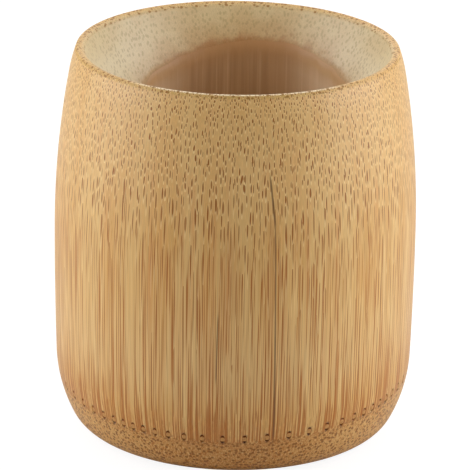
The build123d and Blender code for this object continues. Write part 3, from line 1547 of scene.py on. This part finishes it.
    def darken(self, verts: list[Vert], place: Matrix, index: int, pit: VertMark, darkness: float) -> None:
        """Marks a pit's ring with painted shade, darkest at its upper and lower end, where its two pores lie.

        Args:
            verts: the vertices of the ring.
            place: the bud's frame on the surface.
            index: the bud's number round the ring, which sets how open each pore is.
            pit: the layer that takes the painted shade.
            darkness: how dark the ring's ends are.
        """
        heights = [(vert.co - place.translation).dot(place.to_3x3().col[1]) for vert in verts]
        tallest = max(abs(height) for height in heights)
        for vert, height in zip(verts, heights):
            end = Vector((index * self.pore_pitch, copysign(self.pore_end, height), self.pore_layer))
            pore = min(self.pore_most, self.pore + self.pore_range * noise.noise(end))
            vert[pit] = darkness * (self.pore_least + pore * abs(height / tallest) ** self.pore_sharpness)


@dataclass(frozen=True)
class RootBuds:
    """The ring of root buds, each a low crowned core seated in its pit."""

    outline: TurnedOutline
    buds: BudRing
    seat_depth: float = 0.58
    segments: int = 16
    core_height: float = 0.56
    core_square: float = 0.5
    crown_height: float = 0.14
    crown_steps: tuple[RingStep, ...] = (
        RingStep(0.07, 0.9, 0.35), RingStep(0.04, 0.78, 0.75), RingStep(0.01, 0.6, 1.0))

    def build(self, finish: BudFinish) -> SceneObject:
        """Makes every bud's core.

        Args:
            finish: the buds' finish.

        Returns:
            All the cores as one piece.
        """
        mesh = bmesh.new()
        core = mesh.verts.layers.float.new("core")
        for index in range(self.buds.count):
            self.crown(mesh, self.buds.place(index, self.outline), core)
        bmesh.ops.recalc_face_normals(mesh, faces=mesh.faces[:])
        return make_piece(mesh, "bud_cores", "root_buds", finish.material())

    def crown(self, mesh: Mesh, place: Matrix, core: VertMark) -> None:
        """Raises one core from the floor of its pit.

        Args:
            mesh: the mesh that takes it.
            place: the bud's frame on the surface.
            core: the layer that marks how near a vertex lies to the core's middle.
        """
        shape = Matrix.Diagonal((self.buds.width / 2, self.buds.height / 2 * self.core_height, 1, 1))
        ring = bmesh.ops.create_circle(mesh, cap_ends=True, segments=self.segments, radius=1.0)["verts"]
        for vert in ring:
            vert.co.y = copysign(abs(vert.co.y) ** self.core_square, vert.co.y)
        base = place @ Matrix.Translation((0, 0, -self.seat_depth)) @ shape
        bmesh.ops.transform(mesh, matrix=base, verts=ring)
        edges = ring_edges(ring)
        outward = place.to_3x3().col[2]
        for step in (RingStep(self.seat_depth - self.crown_height, 1.0, 0.0), *self.crown_steps):
            verts, edges = push_ring(mesh, edges, outward * step.rise, step.shrink)
            for vert in verts:
                vert[core] = step.mark
        bmesh.ops.edgeloop_fill(mesh, edges=edges)


@dataclass(frozen=True)
class InnerSkin:
    """The brown skin that lines the natural hollow and covers its floor."""

    outline: TurnedOutline
    hollow: NaturalHollow
    columns: int = 512
    edge_round: float = 6.0
    cut_fade: float = 2.2
    rib_height: float = 0.09
    rib_waves: float = 16.0
    rib_waves_up: float = 0.03
    rib_finer: float = 2.3
    rib_start: float = 4.0
    wrinkle_height: float = 0.22
    wrinkle_waves: float = 0.22
    wrinkle_finer_waves: float = 0.6

    def build(self, finish: SkinFinish) -> SceneObject:
        """Turns the skin about the hollow's own axis and lets its ribs grow.

        Args:
            finish: the skin's finish.

        Returns:
            The skin as a piece.
        """
        mesh = bmesh.new()
        self.trace(mesh)
        turn_on_lathe(mesh, self.columns)
        self.grow(mesh)
        return make_piece(mesh, "inner_skin_lining", "inner_skin", finish.material())

    def trace(self, mesh: Mesh) -> None:
        """Traces the skin's section: cut edge, face, floor, then back up behind.

        Args:
            mesh: the mesh that takes the section.
        """
        hollow = self.hollow
        face = hollow.radius - hollow.skin
        top = self.outline.mouth_height(hollow.radius)
        lean = radians(self.outline.mouth_lean)
        edge = face + self.edge_round * tan(lean / 2) * sin(lean)
        tracer = OutlineTracer(mesh, Vector((hollow.radius, top)), QUARTER_TURN)
        first = tracer.tip
        tracer.line(edge, top - (hollow.radius - edge) / tan(lean), region=Depth.FACE)
        tracer.arc(self.edge_round, lean, steps=8, region=Depth.FACE)
        tracer.line(face, hollow.corner_top, steps=26, region=Depth.FACE)
        tracer.facing = pi
        tracer.arc(-(hollow.corner - hollow.skin), QUARTER_TURN, steps=10, region=Depth.FLOOR)
        tracer.line(0, hollow.floor + hollow.skin, steps=18, region=Depth.FLOOR)
        tracer.line(0, hollow.floor, region=Depth.BACK)
        tracer.line(hollow.septum_radius, hollow.floor, steps=2, region=Depth.BACK)
        tracer.facing = -QUARTER_TURN
        tracer.arc(hollow.corner, QUARTER_TURN, steps=6, region=Depth.BACK)
        tracer.line(hollow.radius, top, steps=6, region=Depth.BACK)
        bmesh.ops.pointmerge(mesh, verts=[first, tracer.tip], merge_co=first.co)

    def grow(self, mesh: Mesh) -> None:
        """Fits the skin to the grown hollow, trims it by the mouth's cone and raises its ribs.

        Args:
            mesh: the skin's mesh.
        """
        out, hollow = self.outline, self.hollow
        region = mesh.verts.layers.int["region"]
        cut = mesh.verts.layers.float.new("cut")
        corner_top = hollow.corner_top
        top = out.mouth_height(hollow.radius)
        for vert in mesh.verts:
            radius, height = vert.co.xy.length, vert.co.z
            if height <= corner_top - CLOSE:
                if vert[region] == Depth.FLOOR:
                    vert.co.z += self.wrinkle_height * self.wrinkle(vert.co)
                vert.co += hollow.centre
                continue
            angle = atan2(vert.co.y, vert.co.x)
            away = heading(angle)
            inset = hollow.radius - radius
            trimmed = top - inset / tan(radians(out.mouth_lean))
            share = (height - corner_top) / (trimmed - corner_top)
            rise = min(1.0, share * self.rib_start)
            ribs = self.ribs(away, height) * rise if vert[region] == Depth.FACE else 0.0
            grown = radius + (hollow.radius_at(angle) - hollow.radius) * rise - ribs * inset / hollow.skin
            spot = away * grown + hollow.centre
            vert[cut] = max(0.0, 1.0 - (trimmed - height) / self.cut_fade)
            spot.z = corner_top + (out.mouth_height(spot.xy.length) - corner_top) * share
            vert.co = spot

    def ribs(self, away: Vector, height: float) -> float:
        """Height of the upright ribs at a place on the wall."""
        spot = Vector((away.x * self.rib_waves, away.y * self.rib_waves, height * self.rib_waves_up))
        return self.rib_height * (noise.noise(spot) + FINER_SHARE * noise.noise(spot * self.rib_finer))

    def wrinkle(self, place: Vector) -> float:
        """Share of the floor's relief at a place."""
        finer = noise.noise(place * self.wrinkle_finer_waves)
        return noise.noise(place * self.wrinkle_waves) + FINER_SHARE * finer


@dataclass(frozen=True)
class FloorSeptum:
    """The node's cross wall, seen in the recess under the foot."""

    hollow: NaturalHollow
    columns: int = 256
    dish: float = 0.5
    groove: float = 0.05
    groove_pitch: float = 1.1
    groove_fade: float = 4.0

    def build(self, finish: SeptumFinish) -> SceneObject:
        """Turns the disc, then dishes and grooves its underside.

        Args:
            finish: the septum's finish.

        Returns:
            The septum as a piece.
        """
        mesh = bmesh.new()
        hollow = self.hollow
        tracer = OutlineTracer(mesh, Vector((0, hollow.seat_bottom)), -QUARTER_TURN)
        tracer.line(hollow.seat_radius, hollow.seat_bottom, steps=60)
        tracer.line(hollow.septum_radius, hollow.floor, steps=3)
        tracer.line(0, hollow.floor, steps=6)
        turn_on_lathe(mesh, self.columns)
        for vert in mesh.verts:
            if vert.co.z < hollow.seat_bottom + CLOSE:
                radius = vert.co.xy.length
                fade = max(0.0, 1.0 - radius / hollow.septum_radius)
                groove = self.groove * (0.5 + 0.5 * sin(FULL_TURN * radius / self.groove_pitch))
                vert.co.z += self.dish * fade * fade + groove * min(1.0, self.groove_fade * fade)
        bmesh.ops.translate(mesh, verts=mesh.verts[:], vec=hollow.centre)
        return make_piece(mesh, "septum_disc", "floor_septum", finish.material())


@dataclass(frozen=True)
class Softbox:
    """A large soft lamp, placed by its turn from the front, in metres, degrees and watts."""

    name: str
    turn: float
    lift: float
    distance: float
    width: float
    tall: float
    power: float
    tint: tuple[float, float, float] = (1.0, 1.0, 1.0)

    def build(self, aim: Vector) -> None:
        """Hangs the lamp so that it faces the cup.

        Args:
            aim: the point that it faces.
        """
        lamp = bpy.data.lights.new(self.name, "AREA")
        lamp.shape = "RECTANGLE"
        lamp.size, lamp.size_y = self.width, self.tall
        lamp.energy, lamp.color = self.power, self.tint
        turn, lift = radians(self.turn), radians(self.lift)
        away = Vector((sin(turn) * cos(lift), -cos(turn) * cos(lift), sin(lift)))
        holder = add_object(self.name, lamp)
        holder.location = aim + away * self.distance
        holder.rotation_euler = (-away).to_track_quat("-Z", "Y").to_euler()


SIDE_TINT = (0.96, 1.0, 1.1)


@dataclass(frozen=True)
class Studio:
    """A white floor and world, four soft lamps and the camera at the photograph's angle."""

    aim_height: float = 43.55
    distance: float = 1000.0
    elevation: float = 19.44
    roll: float = 0.93
    lens: float = 345.2
    sensor: float = 36.0
    floor_size: float = 6.0
    floor_gap: float = 0.05
    floor_tone: Colour = (0.8, 0.765, 0.69, 1.0)
    floor_glow: float = 1.2
    floor_glow_share: float = 0.75
    ambient: float = 0.12
    lamps: tuple[Softbox, ...] = (
        Softbox("left_softbox", turn=-85.0, lift=26.0, distance=0.45, width=0.42, tall=0.44, power=1.62,
                tint=SIDE_TINT),
        Softbox("right_softbox", turn=85.0, lift=26.0, distance=0.45, width=0.42, tall=0.44, power=1.72,
                tint=SIDE_TINT),
        Softbox("back_softbox", turn=180.0, lift=32.0, distance=1.2, width=1.6, tall=0.8, power=10.0),
        Softbox("top_softbox", turn=0.0, lift=84.0, distance=1.1, width=0.8, tall=0.8, power=2.3),
    )

    def build(self) -> None:
        """Builds the floor, the light and the camera."""
        scene = bpy.context.scene
        scene.view_settings.view_transform = "Standard"
        aim = Vector((0, 0, self.aim_height * MM))
        self.lay_floor()
        self.light_world(scene)
        for lamp in self.lamps:
            lamp.build(aim)
        self.set_camera(scene, aim)

    def lay_floor(self) -> None:
        """Lays a plain floor that is white to the camera and keeps the cup's shadow."""
        mesh = bmesh.new()
        bmesh.ops.create_grid(mesh, x_segments=1, y_segments=1, size=self.floor_size / 2)
        bmesh.ops.translate(mesh, verts=mesh.verts[:], vec=(0, 0, -self.floor_gap * MM))
        graph = NodeGraph(bpy.data.materials.new("floor_white"))
        plain = graph.node("ShaderNodeBsdfDiffuse", {"Color": self.floor_tone})
        glow = graph.node("ShaderNodeEmission", {"Color": (1.0, 1.0, 1.0, 1.0), "Strength": self.floor_glow})
        seen = graph.node("ShaderNodeLightPath").outputs["Is Camera Ray"]
        share = graph.product(seen, self.floor_glow_share)
        both = graph.node("ShaderNodeMixShader", {0: share, 1: plain.outputs[0], 2: glow.outputs[0]})
        graph.node("ShaderNodeOutputMaterial", {"Surface": both.outputs[0]})
        floor = settle(mesh, "floor", graph.owner)

    def light_world(self, scene: bpy.types.Scene) -> None:
        """Lights the cup faintly all round, from a world that is bright to the camera.

        Args:
            scene: the scene that gets the world.
        """
        scene.world = bpy.data.worlds.new("studio_white")
        graph = NodeGraph(scene.world)
        seen = graph.node("ShaderNodeLightPath").outputs["Is Camera Ray"]
        back = graph.node("ShaderNodeBackground", {"Strength": graph.math("MAXIMUM", seen, self.ambient)})
        graph.node("ShaderNodeOutputWorld", {"Surface": back.outputs[0]})

    def set_camera(self, scene: bpy.types.Scene, aim: Vector) -> None:
        """Sets the camera in front of the cup, a little above it and slightly rolled.

        Args:
            scene: the scene that gets the camera.
            aim: the point that it looks at.
        """
        data = bpy.data.cameras.new("camera")
        data.lens, data.sensor_width = self.lens, self.sensor
        rise = radians(self.elevation)
        away = Vector((0, -cos(rise), sin(rise)))
        facing = (-away).to_track_quat("-Z", "Y").to_matrix().to_4x4()
        scene.camera = add_object("camera", data)
        scene.camera.matrix_world = (Matrix.Translation(aim + away * self.distance * MM) @ facing
                                     @ Matrix.Rotation(radians(self.roll), 4, "Z"))


def main() -> None:
    """Builds every piece of the cup and the studio, and logs each piece's face count."""
    logging.basicConfig(level=logging.INFO, format="%(name)s: %(message)s")
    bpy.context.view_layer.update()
    outline, hollow, buds = TurnedOutline.from_frame(), NaturalHollow.from_frame(), BudRing()
    pieces = (
        CupWall(outline, hollow, buds).build(BambooFlesh(CulmGrain(hollow, buds, outline))),
        InnerSkin(outline, hollow).build(SkinFinish()),
        FloorSeptum(hollow).build(SeptumFinish()),
        RootBuds(outline, buds).build(BudFinish()),
    )
    for piece in pieces:
        log.info("%s: %d faces", piece.name, len(piece.data.polygons))
    Studio().build()


if __name__ == "__main__":
    main()
